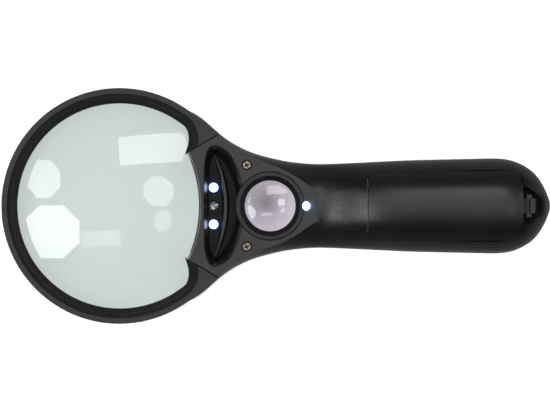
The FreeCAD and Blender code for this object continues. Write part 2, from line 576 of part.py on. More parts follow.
rear = rear.fuse(tub2)
rear = rear.cut(recess)
feature("rear_housing", rear)

# ---------------------------------------------------------------- battery door and its latch
door = outer.common(door_prism(-DG, 19.0, 60)).cut(handle_solid(D["door_thick"], -30, 94))
# a shallow rebate all round the door's outer edge
border = door_prism(-DG + 1.0, 18.8, 60).cut(door_prism(-DG - D["door_edge"], 18.0, 61)).cut(handle_solid(D["door_step"], -30, 96))
door = door.cut(border)
TW, TZ0 = D["tab_wide"] / 2, D["tab_z"]
door = door.fuse(box(DXA - D["tab_reach"], DXA + 2.4, -TW, TW, TZ0, TZ0 + D["tab_thick"]))
door = door.fuse(box(DXA + DG, DXA + 2.4, -TW, TW, TZ0, 24.4).common(handle_solid(0.4, -30, 94)))
# root rib that carries the latch tongue
root = box(DXB - 2.0, DXB - 0.5, -D["latch_half"], D["latch_half"], 19.6, 23.6).common(handle_solid(0.4, -30, 94))
door = door.fuse(root).removeSplitter()
feature("battery_door", door)

LH = D["latch_half"]
# U-shaped tongue: inner leg, bend at the bottom, outer leg with the thumb block
leg = box(DXB - 0.45, DXB + 0.25, -LH + 0.4, LH - 0.4, 17.4, 19.5)
tongue = Part.makePolygon([Vector(x, 0, z) for x, z in
                           [(84.0, 19.5), (84.0, 18.9), (84.6, 17.6), (85.6, 17.0), (89.2, 17.0), (90.2, 17.8), (90.2, 22.2), (89.8, 22.7),
                            (88.3, 22.9), (87.9, 22.5), (87.9, 18.6), (87.4, 18.1), (86.0, 18.1), (85.4, 18.5), (85.2, 19.5), (84.0, 19.5)]])
tongue = Part.Face(tongue).extrude(Vector(0, 2 * LH - 0.0, 0))
tongue.translate(Vector(0, -LH, 0))
ears = box(87.1, 88.7, -3.9, 3.9, 19.6, 20.9)
latch = tongue.fuse(ears).removeSplitter()
feature("door_latch", latch)


# ---------------------------------------------------------------- lenses
def lens(label, face, sph, edge, rim, x, z):
    """Biconvex lens with a flat rim: two spheres and a cylinder in common, plus the rim."""
    sag = val(sph) - math.sqrt(val(sph) ** 2 - val(face) ** 2)
    parts = []
    for k, up in ((0, 1), (1, -1)):
        s = doc.addObject("Part::Sphere", "%s_sphere_%d" % (label, k))
        s.Radius = val(sph)
        bind(s, "Radius", sph)
        zc = val(z) + (val(edge) + sag - val(sph) if up > 0 else -sag + val(sph))
        s.Placement = Placement(Vector(val(x), 0, zc), Rotation())
        parts.append(s)
    c = doc.addObject("Part::Cylinder", label + "_core")
    c.Radius, c.Height = val(face), 2 * val(sph)
    bind(c, "Radius", face)
    place(c, x, 0, val(z) - val(sph))
    parts.append(c)
    com = doc.addObject("Part::MultiCommon", label + "_body")
    com.Shapes = parts
    r = doc.addObject("Part::Cylinder", label + "_rim")
    r.Radius, r.Height = val(rim), val(edge)
    bind(r, "Radius", rim)
    bind(r, "Height", edge)
    place(r, x, 0, z)
    f = doc.addObject("Part::MultiFuse", label)
    f.Shapes = [com, r]
    f.Label = label
    doc.recompute()
    return f


main_lens = lens("main_lens", "lens_face", "lens_sph", "lens_edge", "lens_rad", "ring_x", "seat_z")
up_z = D["loupe_lip"] - D["loupe_edge"]
loupe_a = lens("loupe_lens_upper", "loupe_rad-0.95", "loupe_sph", "loupe_edge", "loupe_rad", "loupe_x", "loupe_lip-loupe_edge")
loupe_b = lens("loupe_lens_lower", "loupe_rad-0.95", "loupe2_sph", "loupe2_edge", "loupe_rad", "loupe_x", "loupe2_z")

# ---------------------------------------------------------------- loupe bezel, barrel spacer
bezel = revolved("loupe_bezel", [
    ("loupe_view", "loupe_lip"), ("loupe_view", "loupe_lip+0.6"), ("bezel_in-0.25", "ring_top-1.0"), ("bezel_in", "ring_top-0.02"),
    ("bezel_rad-0.35", "ring_top-0.02"), ("bezel_rad-0.1", "ring_top-0.14"), ("bezel_rad", "ring_top-0.5"), ("bezel_rad", "bezel_seat+0.02"),
    ("barrel_rad", "bezel_seat+0.02"), ("barrel_rad", "loupe2_z+0.1"), ("loupe_rad+0.08", "loupe2_z+0.1"), ("loupe_rad+0.08", "loupe_lip")],
    "loupe_x")
notch_s = new_sketch(bezel, "XY_Plane", "loupe_bezel_notch_outline")
# the notch for the loupe lamp: a circle about the lamp's place, in the bezel's own frame
gx = D["loupe_lamp_x"] - D["loupe_x"]
g = notch_s.addGeometry(Part.Circle(Vector(gx + 0.1, 0, 0), Vector(0, 0, 1), 2.1), False)
notch_s.addConstraint(Sketcher.Constraint("Radius", g, 2.1))
doc.recompute()
bn = bezel.newObject("PartDesign::Pocket", "loupe_bezel_notch")
bn.Profile = notch_s
bn.Type = "Length"
bn.Length = 40
bn.Reversed = True
doc.recompute()
base_vol = bezel.Group[1].Shape.Volume
if bn.Shape.Volume >= base_vol - 1e-6:
    bn.Reversed = False
    doc.recompute()
print("bezel before and after the notch", round(base_vol, 1), round(bn.Shape.Volume, 1))

spacer = new_body("loupe_spacer")
ss = new_sketch(spacer, "XY_Plane", "loupe_spacer_outline")
add_circle(ss, 0, 0, "loupe_rad")
add_circle(ss, 0, 0, "spacer_in")
doc.recompute()
sp = spacer.newObject("PartDesign::Pad", "loupe_spacer_pad")
sp.Profile = ss
sp.Length = up_z - D["loupe2_z"] - D["loupe2_edge"]
bind(sp, "Length", "loupe_lip-loupe_edge-loupe2_z-loupe2_edge")
place(spacer, "loupe_x", 0, "loupe2_z+loupe2_edge")
doc.recompute()


# ---------------------------------------------------------------- lamps
def led(label, x, y, z, rot=None):
    b = revolved(label, [(0, 0), ("led_flange", 0), ("led_flange", "led_base"), ("led_rad", "led_base"), ("led_rad", "led_tall"), (0, "led_tall")],
                 x, y, z, rot)
    turn = b.Tip
    edges = ["Edge%d" % (i + 1) for i, e in enumerate(turn.Shape.Edges)
             if abs(e.BoundBox.ZMax - D["led_tall"]) < 1e-4 and e.BoundBox.ZLength < 1e-4 and e.BoundBox.XLength > 1]
    f = b.newObject("PartDesign::Fillet", label + "_dome")
    f.Base = (turn, edges)
    f.Radius = 1.42
    doc.recompute()
    return b


led_z = "board_z+board_thick"
led("led_white_upper", "lamp_x", "lamp_pitch", led_z)
led("led_uv", "lamp_x", 0, led_z)
b = led("led_white_lower", "lamp_x", 0, led_z)
b.Placement.Base.y = -D["lamp_pitch"]
b.setExpression("Placement.Base.y", "-dims.lamp_pitch")
led("led_loupe", 0, 0, 0)
doc.getObject("led_loupe").Placement = lamp_at
plate("lamp_board", 4.6, 18.0, "board_thick", "lamp_x-0.3", 0, "board_z", corner=0.4)
lb = plate("loupe_lamp_board", 5.2, 5.2, 0.9, 0, 0, 0, corner=0.4)
lb.Placement = lamp_at.multiply(Placement(Vector(0, 0, -0.92), Rotation()))

# ---------------------------------------------------------------- screws
def screw(x, y, z_top, length, flip=False):
    """Cross-head screw: pan head, shank with a point; z_top is the head's top."""
    hr, ht, sr = D["screw_head"], D["screw_head_tall"], D["screw_shank"]
    prof = [(0, 0), (hr - 0.35, 0), (hr, -0.4), (hr, -ht), (sr, -ht), (sr, -ht - length + 0.9), (0.15, -ht - length), (0, -ht - length)]
    s = turned([(a, c) for a, c in prof], 0, {1: (hr - 0.1, -0.12)})
    for ang in (0, 90):
        blade = box(-1.0, 1.0, -0.25, 0.25, -0.85, 1)
        blade.rotate(Vector(0, 0, 0), Vector(0, 0, 1), ang + 28)
        s = s.cut(blade)
    s = s.cut(Part.makeCone(0.05, 0.62, 0.95, Vector(0, 0, -0.9)))
    if flip:
        s.rotate(Vector(0, 0, 0), Vector(1, 0, 0), 180)
    s.translate(Vector(x, y, z_top))
    return s


feature("neck_screws", Part.makeCompound([screw(D["screw_x"], k * D["screw_y"], D["screw_head_z"], D["screw_len"]) for k in (1, -1)]))
feature("handle_screw", screw(D["end_screw_x"], 0, 2.9, 9.6, True))

# ---------------------------------------------------------------- battery bay
CY, CZ, LZc, CL, CRd = D["cell_y"], D["cell_up_z"], D["cell_low_z"], D["cell_len"], D["cell_rad"]
XA, XB, PT, SL = D["bay_a"], D["bay_b"], D["plate_thick"], D["spring_len"]
cells = [("battery_cell_left", CY, CZ, 1), ("battery_cell_right", -CY, CZ, 1), ("battery_cell_lower", 0.0, LZc, -1)]
for name, y, z, way in cells:
    rot = Rotation(Vector(0, 1, 0), 90 * way)
    c = revolved(name, [(0, 0.25), (3.2, 0.25), (3.5, 0), ("cell_rad-0.35", 0), ("cell_rad", 0.35), ("cell_rad", "cell_len-nub_len-0.5"),
                        ("cell_rad-0.5", "cell_len-nub_len"), ("nub_rad+0.1", "cell_len-nub_len"), ("nub_rad", "cell_len-0.2"), ("nub_rad-0.2", "cell_len"), (0, "cell_len")])
    if way > 0:      # negative end towards the lens, on its spring
        c.Placement = Placement(Vector(XA + PT + SL + 0.02, y, z), rot)
    else:
        c.Placement = Placement(Vector(XB - PT - SL - 0.02, y, z), rot)
doc.recompute()


def spring(x, y, z, way):
    # a coil of quarter turns, each a smooth curve that meets the next with the same tangent
    r, wr = D["spring_rad"], D["spring_wire"]
    turns, length = 3.5, SL - 2 * wr - 0.06
    k = length / (turns * 2 * math.pi)
    total, edges = int(turns * 4), []
    for i in range(total):
        a, b = math.pi / 2 * i, math.pi / 2 * (i + 1)
        pts = [Vector(r * math.cos(a + (b - a) * j / 4), r * math.sin(a + (b - a) * j / 4), k * (a + (b - a) * j / 4)) for j in range(5)]
        c = Part.BSplineCurve()
        c.interpolate(Points=pts, InitialTangent=Vector(-r * math.sin(a), r * math.cos(a), k).normalize(),
                      FinalTangent=Vector(-r * math.sin(b), r * math.cos(b), k).normalize())
        edges.append(c.toShape())
    circ = Part.Wire([Part.makeCircle(wr, Vector(r, 0, 0), Vector(0, r, k))])
    s = Part.Wire(edges).makePipeShell([circ], True, True)
    s.Placement = Placement(Vector(x, y, z), Rotation(Vector(0, 1, 0), 90 * way))
    return s


sprs = [spring(XA + PT + D["spring_wire"] + 0.02, CY, CZ, 1), spring(XA + PT + D["spring_wire"] + 0.02, -CY, CZ, 1),
        spring(XB - PT - D["spring_wire"] - 0.02, 0, LZc, -1)]
feature("battery_springs", Part.makeCompound(sprs))


def contact(x0, y0, y1, z0, z1):
    return box(x0, x0 + PT, y0, y1, z0, z1)


EA, EB = XA + 0.02, XB - PT - 0.02
feature("contacts_positive", Part.makeCompound([contact(EB, 1.3, 9.3, 12.9, 20.0), contact(EB, -10.6, -1.3, 11.9, 20.0), contact(EA, -4, 4, 4.9, 10.4)]))
feature("contacts_negative", Part.makeCompound([contact(EA, 1.3, 9.3, 13.2, 18.9), contact(EA, -9.3, -1.3, 13.2, 18.9), contact(EB, -4, 4, 4.9, 10.9)]))

# ---------------------------------------------------------------- switch
sw_z = 4.32
plate("switch_board", 11.4, 12.0, 1.0, SX + KT / 2 + 1.1, 0, 9.0, corner=0.6)
swb = new_body("switch_body")
s1 = new_sketch(swb, "XY_Plane", "switch_body_outline")
add_rect(s1, 13.6, 6.6)
doc.recompute()
p1 = swb.newObject("PartDesign::Pad", "switch_body_pad")
p1.Profile = s1
p1.Length = 4.6
doc.recompute()
s2 = new_sketch(swb, "XY_Plane", "switch_body_slot")
add_rect(s2, "knob_travel+nub_long+0.5", "nub_wide+0.4")
doc.recompute()
p2 = swb.newObject("PartDesign::Pocket", "switch_body_channel")
p2.Profile = s2
p2.Type = "Length"
p2.Length = 3.0
p2.Reversed = True
doc.recompute()
if p2.Shape.Volume >= p1.Shape.Volume - 1e-6:
    raise RuntimeError("the switch channel cut nothing")
place(swb, SX + KT / 2, 0, sw_z)
sld = plate("switch_slider", "nub_long", "nub_wide", 4.2, "switch_x", 0, "knob_top+0.02", corner=0.3)

knob = new_body("switch_knob")
k1 = new_sketch(knob, "XY_Plane", "switch_knob_outline")
add_rect(k1, "knob_long", "knob_wide")
doc.recompute()
kp = knob.newObject("PartDesign::Pad", "switch_knob_pad")
kp.Profile = k1
kp.Length = D["knob_top"] - D["knob_low"]
bind(kp, "Length", "knob_top-knob_low")
doc.recompute()
k2 = new_sketch(knob, "XY_Plane", "switch_knob_groove")
g0 = k2.GeometryCount
for q in ((-2.95, -4), (-2.45, -4), (-2.45, 4), (-2.95, 4)):
    pass
qs = [(-2.95, -4.0), (-2.45, -4.0), (-2.45, 4.0), (-2.95, 4.0)]
for i in range(4):
    a, b2 = qs[i], qs[(i + 1) % 4]
    k2.addGeometry(Part.LineSegment(Vector(a[0], a[1], 0), Vector(b2[0], b2[1], 0)), False)
for i in range(4):
    k2.addConstraint(Sketcher.Constraint("Coincident", i, 2, (i + 1) % 4, 1))
doc.recompute()
kc = knob.newObject("PartDesign::Pocket", "switch_knob_cut")
kc.Profile = k2
kc.Type = "Length"
kc.Length = 0.6
kc.Reversed = True
doc.recompute()
kl = knob.newObject("PartDesign::LinearPattern", "switch_knob_ridges")
kl.Originals = [kc]
kl.Direction = (plane(knob, "X_Axis"), [""])
kl.Length = 5.4
kl.Occurrences = 5
knob.Tip = kl
doc.recompute()
print("knob before and after the grooves", round(kp.Shape.Volume, 2), round(kl.Shape.Volume, 2))
place(knob, "switch_x", 0, "knob_low")


def chip(x, y, z):
    b = doc.addObject("Part::Box", "chip")
    b.Length, b.Width, b.Height = 3.2, 1.6, 0.6
    b.Placement = Placement(Vector(x - 1.6, y - 0.8, z), Rotation())
    return b


chips = [chip(SX + 0.7, 3.4, 10.02), chip(SX + 0.7, -3.4, 10.02), chip(SX + 6.6, 0.0, 10.02)]
grp = doc.addObject("Part::Compound", "resistors")
grp.Links = chips
grp.Label = "resistors"
doc.recompute()


# ---------------------------------------------------------------- internal leads
def lead(label, pts, rad):
    """Tube along straight runs joined by tangent arcs; prints its bends and compares its volume with section times length."""
    edges = []
    cur = Vector(*pts[0])
    radii = []
    for i in range(1, len(pts) - 1):
        a, b, c = Vector(*pts[i - 1]), Vector(*pts[i]), Vector(*pts[i + 1])
        u, w = (a - b), (c - b)
        la, lc = u.Length, w.Length
        u.normalize()
        w.normalize()
        turn = math.pi - u.getAngle(w)
        cutb = 0.45 * min(la, lc)
        radii.append(cutb / math.tan(turn / 2))
        p, q = b + u * cutb, b + w * cutb
        bis = u + w
        bis.normalize()
        h = radii[-1] / math.cos(turn / 2) - radii[-1]
        m = b + bis * h
        edges.append(Part.LineSegment(cur, p).toShape())
        edges.append(Part.Arc(p, m, q).toShape())
        cur = q
    edges.append(Part.LineSegment(cur, Vector(*pts[-1])).toShape())
    path = Part.Wire(edges)
    d = (Vector(*pts[1]) - Vector(*pts[0]))
    s = path.makePipeShell([Part.Wire([Part.makeCircle(rad, Vector(*pts[0]), d)])], True, False)
    print(label, "radii", [round(r, 1) for r in radii], "volume ratio", round(s.Volume / (math.pi * rad ** 2 * path.Length), 4),
          "length", round(path.Length, 1))
    feature(label, s)


BL = SX + KT / 2 + 1.1 - 5.7      # the switch board's end towards the lens
for name, k in (("lead_lamps_red", 1), ("lead_lamps_black", -1)):
    lead(name, [(-19.55, k * 6.0, 13.7), (-17.0, k * 8.2, 13.5), (-13.6, k * 9.9, 12.8), (-8.6, k * 10.9, 12.5), (-2.1, k * 12.6, 12.5),
                (4.6, k * 11.6, 12.4), (9.6, k * 8.2, 11.6), (13.4, k * 5.0, 9.8), (BL - 0.06, k * 4.5, 9.5)], 0.4)
for name, k in (("lead_loupe_lamp_red", 1), ("lead_loupe_lamp_black", -1)):
    lead(name, [(11.9, k * 1.5, 13.98), (13.1, k * 1.5, 9.6), (BL - 0.06, k * 1.5, 9.5)], 0.4)
lead("lead_battery_red", [(EB - 0.02, -10.0, 12.7), (77.5, -10.0, 12.4), (73.0, -10.0, 8.8), (64.0, -9.9, 8.4), (36.0, -9.8, 8.5), (29.5, -9.6, 8.8),
                          (26.6, -8.6, 9.4), (25.2, -6.35, 9.5)], 0.4)
lead("lead_battery_black", [(EA - 0.02, 4.0, 13.9), (26.9, 4.0, 13.9), (26.0, 4.0, 10.06)], 0.4)

doc.recompute()
bad = [o.Name for o in doc.Objects if any(w in o.State for w in ("Invalid", "Error"))]
if bad:
    raise RuntimeError("failed objects: %s" % bad)

NODES = ["front_housing", "rear_housing", "lens_ring", "main_lens", "loupe_lens_upper", "loupe_lens_lower", "loupe_bezel", "loupe_spacer",
         "led_white_upper", "led_uv", "led_white_lower", "led_loupe", "lamp_board", "loupe_lamp_board", "neck_screws", "handle_screw",
         "battery_cell_left", "battery_cell_right", "battery_cell_lower", "battery_springs", "contacts_positive", "contacts_negative",
         "battery_door", "door_latch", "switch_body", "switch_board", "switch_slider", "switch_knob", "resistors",
         "lead_lamps_red", "lead_lamps_black", "lead_loupe_lamp_red", "lead_loupe_lamp_black", "lead_battery_red", "lead_battery_black"]
out = {}
for name in NODES:
    o = doc.getObjectsByLabel(name)[0]
    s = o.Shape
    if s.isNull() or not s.isValid() or s.Volume <= 0:
        raise RuntimeError("%s has no valid shape (null %s, valid %s)" % (name, s.isNull(), (not s.isNull()) and s.isValid()))
    bb = s.optimalBoundingBox(True, False)
    if len(s.Solids) > 1:
        print("   solids", [(round(q.Volume, 1), [round(v, 1) for v in (q.CenterOfMass.x, q.CenterOfMass.y, q.CenterOfMass.z)]) for q in s.Solids])
    print("%-20s solids %d vol %9.1f  x %.2f..%.2f y %.2f..%.2f z %.2f..%.2f" % (
        name, len(s.Solids), s.Volume, bb.XMin, bb.XMax, bb.YMin, bb.YMax, bb.ZMin, bb.ZMax))
    out[name] = s
os.makedirs("parts", exist_ok=True)
for name, s in out.items():
    s.exportStep("parts/%s.step" % name)
print("wrote", len(out), "parts")
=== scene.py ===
import bpy
import bmesh
import math
from mathutils import Matrix, Vector


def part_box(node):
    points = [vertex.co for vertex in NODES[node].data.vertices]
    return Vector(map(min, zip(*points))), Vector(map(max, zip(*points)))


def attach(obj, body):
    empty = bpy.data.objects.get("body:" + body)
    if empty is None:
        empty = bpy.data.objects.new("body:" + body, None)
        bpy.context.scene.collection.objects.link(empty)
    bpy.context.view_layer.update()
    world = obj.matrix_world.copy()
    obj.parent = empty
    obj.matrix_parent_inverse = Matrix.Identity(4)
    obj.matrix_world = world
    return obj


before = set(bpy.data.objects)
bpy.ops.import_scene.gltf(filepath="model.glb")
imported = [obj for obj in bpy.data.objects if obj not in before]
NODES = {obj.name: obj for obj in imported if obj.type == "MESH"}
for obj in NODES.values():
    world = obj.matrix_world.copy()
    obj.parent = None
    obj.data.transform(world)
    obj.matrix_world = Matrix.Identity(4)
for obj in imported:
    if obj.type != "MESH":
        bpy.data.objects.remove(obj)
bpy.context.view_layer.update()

MM = 0.001


# ------------------------------------------------------------------ small node helpers
class Mat:
    """A Principled material with helpers for its nodes."""

    def __init__(self, name):
        self.m = bpy.data.materials.new(name)
        self.m.use_nodes = True
        self.t = self.m.node_tree
        self.b = self.t.nodes["Principled BSDF"]
        self.co = self.t.nodes.new("ShaderNodeTexCoord")

    def put(self, **values):
        for k, v in values.items():
            self.b.inputs[k.replace("_", " ")].default_value = v
        return self

    def link(self, a, b):
        self.t.links.new(a, b)

    def noise(self, scale, detail=3.0, rough=0.5, stretch=None, kind="noise"):
        """A noise over the object's own coordinates, in metres. scale is in features a metre."""
        src = self.co.outputs["Object"]
        if stretch:
            mp = self.t.nodes.new("ShaderNodeMapping")
            mp.inputs["Scale"].default_value = stretch
            self.link(src, mp.inputs["Vector"])
            src = mp.outputs["Vector"]
        if kind == "noise":
            n = self.t.nodes.new("ShaderNodeTexNoise")
            n.inputs["Detail"].default_value = detail
            n.inputs["Roughness"].default_value = rough
            out = n.outputs["Fac"]
        else:
            n = self.t.nodes.new("ShaderNodeTexVoronoi")
            n.feature = "F1"
            out = n.outputs["Distance"]
        n.inputs["Scale"].default_value = scale
        self.link(src, n.inputs["Vector"])
        return out

    def ramp(self, fac, stops):
        r = self.t.nodes.new("ShaderNodeValToRGB")
        e = r.color_ramp.elements
        while len(e) < len(stops):
            e.new(0.5)
        for s, (p, c) in zip(e, stops):
            s.position = p
            s.color = tuple(c) + (1.0,) if len(c) == 3 else c
        self.link(fac, r.inputs["Fac"])
        return r.outputs["Color"]

    def remap(self, fac, a, b, lo, hi):
        r = self.t.nodes.new("ShaderNodeMapRange")
        for k, v in zip(("From Min", "From Max", "To Min", "To Max"), (a, b, lo, hi)):
            r.inputs[k].default_value = v
        self.link(fac, r.inputs["Value"])
        return r.outputs["Result"]

    def math(self, op, a, b=None, clamp=False):
        n = self.t.nodes.new("ShaderNodeMath")
        n.operation = op
        n.use_clamp = clamp
        for i, v in enumerate((a, b)):
            if v is None:
                continue
            if isinstance(v, (int, float)):
                n.inputs[i].default_value = v
            else:
                self.link(v, n.inputs[i])
        return n.outputs[0]

    def mix(self, fac, a, b):
        n = self.t.nodes.new("ShaderNodeMix")
        n.data_type = "RGBA"
        for key, v in (("Factor", fac), ("A", a), ("B", b)):
            sock = [s for s in n.inputs if s.name == key and (key == "Factor" and s.type == "VALUE" or s.type == "RGBA")][0]
            if isinstance(v, tuple):
                sock.default_value = v + (1.0,)
            elif isinstance(v, (int, float)):
                sock.default_value = v
            else:
                self.link(v, sock)
        return [s for s in n.outputs if s.type == "RGBA"][0]

    def axis(self, k):
        s = self.t.nodes.new("ShaderNodeSeparateXYZ")
        self.link(self.co.outputs["Object"], s.inputs[0])
        return s.outputs["XYZ".index(k)]

    def bump(self, heights):
        """heights: (height output, distance in metres), stacked in order."""
        last = None
        for h, d in heights:
            n = self.t.nodes.new("ShaderNodeBump")
            n.inputs["Strength"].default_value = 1.0
            n.inputs["Distance"].default_value = d
            self.link(h, n.inputs["Height"])
            if last:
                self.link(last, n.inputs["Normal"])
            last = n.outputs["Normal"]
        self.link(last, self.b.inputs["Normal"])
        return self

    def near(self, point, radius, soft):
        """1 within radius of a point, falling to 0 over soft, all in metres."""
        sub = self.t.nodes.new("ShaderNodeVectorMath")
        sub.operation = "DISTANCE"
        sub.inputs[1].default_value = point
        self.link(self.co.outputs["Object"], sub.inputs[0])
        return self.remap(sub.outputs["Value"], radius, radius + soft, 1.0, 0.0)


def plastic(name, base, rough, spark=1.0, tone=0.30, grain=5200.0, wear=0.35, seed=0.0, gloss=0.5, matt_and_shaded_below=None, shaded_pockets=()):
    """Moulded black plastic with a fine spark-eroded texture, faint flow clouds and worn, polished patches, with
    painted shade on deep inner walls and pocket floors where asked.
    """
    m = Mat(name)
    cloud = m.noise(38.0 + seed, 4.0, 0.6)
    fine = m.noise(grain, 2.0, 0.6)
    coarse = m.noise(grain * 0.42, 2.0, 0.5)
    scuff = m.noise(2600.0, 3.0, 0.6, stretch=(0.035, 1.0, 1.0))
    rub = m.remap(m.noise(60.0 + seed, 3.0, 0.6), 0.52, 0.72, 0.0, wear)
    dark = tuple(c * (1 - tone) for c in base)
    lite = tuple(c * (1 + tone) for c in base)
    c1 = m.mix(m.remap(cloud, 0.3, 0.7, 0.0, 1.0), dark, lite)
    speck = m.remap(coarse, 0.56, 0.74, 0.0, 0.40)
    c2 = m.mix(speck, c1, tuple(min(1.0, c * 2.3 + 0.012) for c in base))
    scr = m.math("MULTIPLY", m.remap(scuff, 0.66, 0.74, 0.0, 1.0), rub)
    c3 = m.mix(m.math("MULTIPLY", scr, 0.25), c2, tuple(min(1.0, c * 2.0 + 0.02) for c in base))
    r1 = m.remap(coarse, 0.3, 0.7, rough - 0.05, rough + 0.07)
    r2 = m.math("SUBTRACT", r1, m.math("MULTIPLY", rub, 0.06))
    if matt_and_shaded_below is not None:
        # the inner wall is left as etched: duller than the handled faces above it, and its colour darkened as painted
        # shade of the deep cove
        wall = m.remap(m.axis("Z"), matt_and_shaded_below - 0.0004, matt_and_shaded_below, 1.0, 0.0)
        c3 = m.mix(m.math("MULTIPLY", wall, 0.6), c3, (0.002, 0.002, 0.002))
        r2 = m.math("MINIMUM", m.math("ADD", r2, m.math("MULTIPLY", wall, 0.34)), 0.95)
    shine = None
    for point, radius, soft, below, amount in shaded_pockets:
        # floor of a moulded pocket: rougher as unpolished, with painted shade darkening its colour and dimming its
        # shine
        deep = m.remap(m.axis("Z"), below - 0.0009, below, amount, 0.0)
        here = m.math("MULTIPLY", m.near(point, radius, soft), deep)
        c3 = m.mix(here, c3, (0.0015, 0.0015, 0.0015))
        r2 = m.math("MINIMUM", m.math("ADD", r2, m.math("MULTIPLY", here, 0.22)), 0.95)
        less = m.remap(here, 0.0, 1.0, 1.0, 0.25)
        shine = less if shine is None else m.math("MULTIPLY", shine, less)
    m.link(c3, m.b.inputs["Base Color"])
    m.link(r2, m.b.inputs["Roughness"])
    m.bump([(coarse, 0.000011 * spark), (fine, 0.000006 * spark)])
    m.put(IOR=1.5)
    m.b.inputs["Specular IOR Level"].default_value = gloss
    if shine is not None:
        m.link(m.math("MULTIPLY", shine, gloss), m.b.inputs["Specular IOR Level"])
    return m.m


def metal(name, colour, rough, brush=(1.0, 1.0, 1.0), stain=(0.30, 0.25, 0.2), amount=0.35, scale=1500.0, slot_at=None):
    m = Mat(name)
    n1 = m.noise(scale, 4.0, 0.6, stretch=brush)
    n2 = m.noise(260.0, 3.0, 0.6)
    c = m.mix(m.remap(n2, 0.42, 0.68, 0.0, amount), tuple(colour), tuple(stain))
    c = m.mix(m.remap(n1, 0.3, 0.75, 0.0, 0.25), c, tuple(x * 0.55 for x in colour))
    if slot_at:
        # grime and deep shade down in the driver slot and the shank below the head
        z, way = slot_at
        deep = m.math("MULTIPLY", m.math("SUBTRACT", z, m.axis("Z")), way)
        c = m.mix(m.remap(deep, 0.00022, 0.00040, 0.0, 0.93), c, (0.012, 0.010, 0.009))
    m.link(c, m.b.inputs["Base Color"])
    m.put(Metallic=1.0)
    m.link(m.remap(n1, 0.25, 0.75, rough - 0.08, rough + 0.12), m.b.inputs["Roughness"])
    m.bump([(n1, 0.000012)])
    return m.m


def board(name, lo, hi, green=(0.012, 0.10, 0.035)):
    """Solder-masked circuit board: weave under the mask, tracks a shade lighter."""
    m = Mat(name)
    weave = m.noise(1.0, 1.0, 0.5, stretch=(2600.0, 2600.0, 400.0))
    track = m.noise(220.0, 0.0, 0.0, stretch=(1.0, 3.0, 1.0))
    edge = m.math("GREATER_THAN", m.math("ABSOLUTE", m.math("SUBTRACT", track, 0.5)), 0.035)
    c = m.mix(edge, tuple(min(1, g * 1.9 + 0.01) for g in green), green)
    c = m.mix(m.remap(weave, 0.3, 0.7, 0.0, 0.35), c, tuple(g * 0.6 for g in green))
    m.link(c, m.b.inputs["Base Color"])
    m.link(m.remap(weave, 0.3, 0.7, 0.26, 0.38), m.b.inputs["Roughness"])
    m.bump([(edge, 0.00003), (weave, 0.00001)])
    return m.m


def sleeve(name, colour):
    m = Mat(name)
    n = m.noise(800.0, 3.0, 0.6)
    f = m.noise(5000.0, 2.0, 0.5)
    m.link(m.mix(m.remap(n, 0.3, 0.7, 0.0, 1.0), tuple(c * 0.7 for c in colour), colour), m.b.inputs["Base Color"])
    m.link(m.remap(n, 0.3, 0.7, 0.32, 0.45), m.b.inputs["Roughness"])
    m.bump([(f, 0.00001)])
    m.put(IOR=1.53)
    return m.m


def acrylic(name, tint, ior=1.49, dust=0.02):
    """Clear moulded lens plastic: a faint tint, a few dust specks and hairline scratches."""
    m = Mat(name)
    n = m.noise(60.0, 2.0, 0.5)
    speck = m.noise(900.0, 1.0, 0.4)
    hair = m.noise(1400.0, 3.0, 0.6, stretch=(0.08, 1.0, 0.3))
    d = m.remap(speck, 0.80, 0.83, 0.0, 1.0)
    c = m.mix(m.remap(n, 0.3, 0.7, 0.0, 0.5), tint, tuple(min(1.0, t * 0.985) for t in tint))
    c = m.mix(m.math("MULTIPLY", d, 0.5), c, (0.45, 0.46, 0.45))
    m.link(c, m.b.inputs["Base Color"])
    r = m.math("ADD", m.math("MULTIPLY", d, 0.25), m.remap(hair, 0.74, 0.82, 0.0, dust))
    m.link(r, m.b.inputs["Roughness"])
    m.put(IOR=ior)
    m.b.inputs["Transmission Weight"].default_value = 1.0
    m.bump([(m.noise(25.0, 1.0, 0.5), 0.0000004)])
    return m.m


def lit_led(name, axis_point, reach, core, glow, strength):
    """A working LED: its epoxy dome, white-hot at the die and fading to its own colour at the rim."""
    m = Mat(name)
    n = m.noise(1800.0, 2.0, 0.5)
    k = m.near(axis_point, reach * 0.35, reach * 0.75)
    m.link(m.mix(k, glow, core), m.b.inputs["Base Color"])
    m.link(m.mix(k, glow, core), m.b.inputs["Emission Color"])
    m.link(m.math("MULTIPLY", m.remap(k, 0.0, 1.0, 0.25, 1.0), strength), m.b.inputs["Emission Strength"])
    m.link(m.remap(n, 0.3, 0.7, 0.12, 0.22), m.b.inputs["Roughness"])
    m.bump([(n, 0.000004)])
    m.put(IOR=1.54)
    return m.m


def dress(node, material, smooth=True, angle=32.0):
    o = NODES[node]
    o.data.materials.clear()
    o.data.materials.append(material)
    return o


# ------------------------------------------------------------------ the plastics
BLACK = (0.0085, 0.0085, 0.0082)
dress("front_housing", plastic("black_front_shell", BLACK, 0.32, seed=1.0))
# the floors of the lamp trough and finger recess are darkened as painted shade
dress("rear_housing", plastic("black_rear_shell", BLACK, 0.32, seed=7.0, gloss=0.45, shaded_pockets=(
    ((-0.0180, 0.0, 0.0175), 0.0190, 0.0020, 0.0181, 0.85),       # lamp trough
    ((0.0868, 0.0, 0.0172), 0.0062, 0.0012, 0.0205, 0.95))))       # finger recess
# the lens ring's inner cove below its rim is darkened as painted shade
dress("lens_ring", plastic("black_lens_ring", (0.0105, 0.0105, 0.0100), 0.46, seed=3.0, gloss=0.46, matt_and_shaded_below=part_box("lens_ring")[1].z - 0.0006))
dress("battery_door", plastic("black_battery_door", (0.0082, 0.0082, 0.0079), 0.33, spark=0.35, seed=11.0, gloss=0.42))
dress("door_latch", plastic("black_door_latch", (0.0115, 0.0115, 0.0112), 0.40, spark=0.7, seed=5.0))
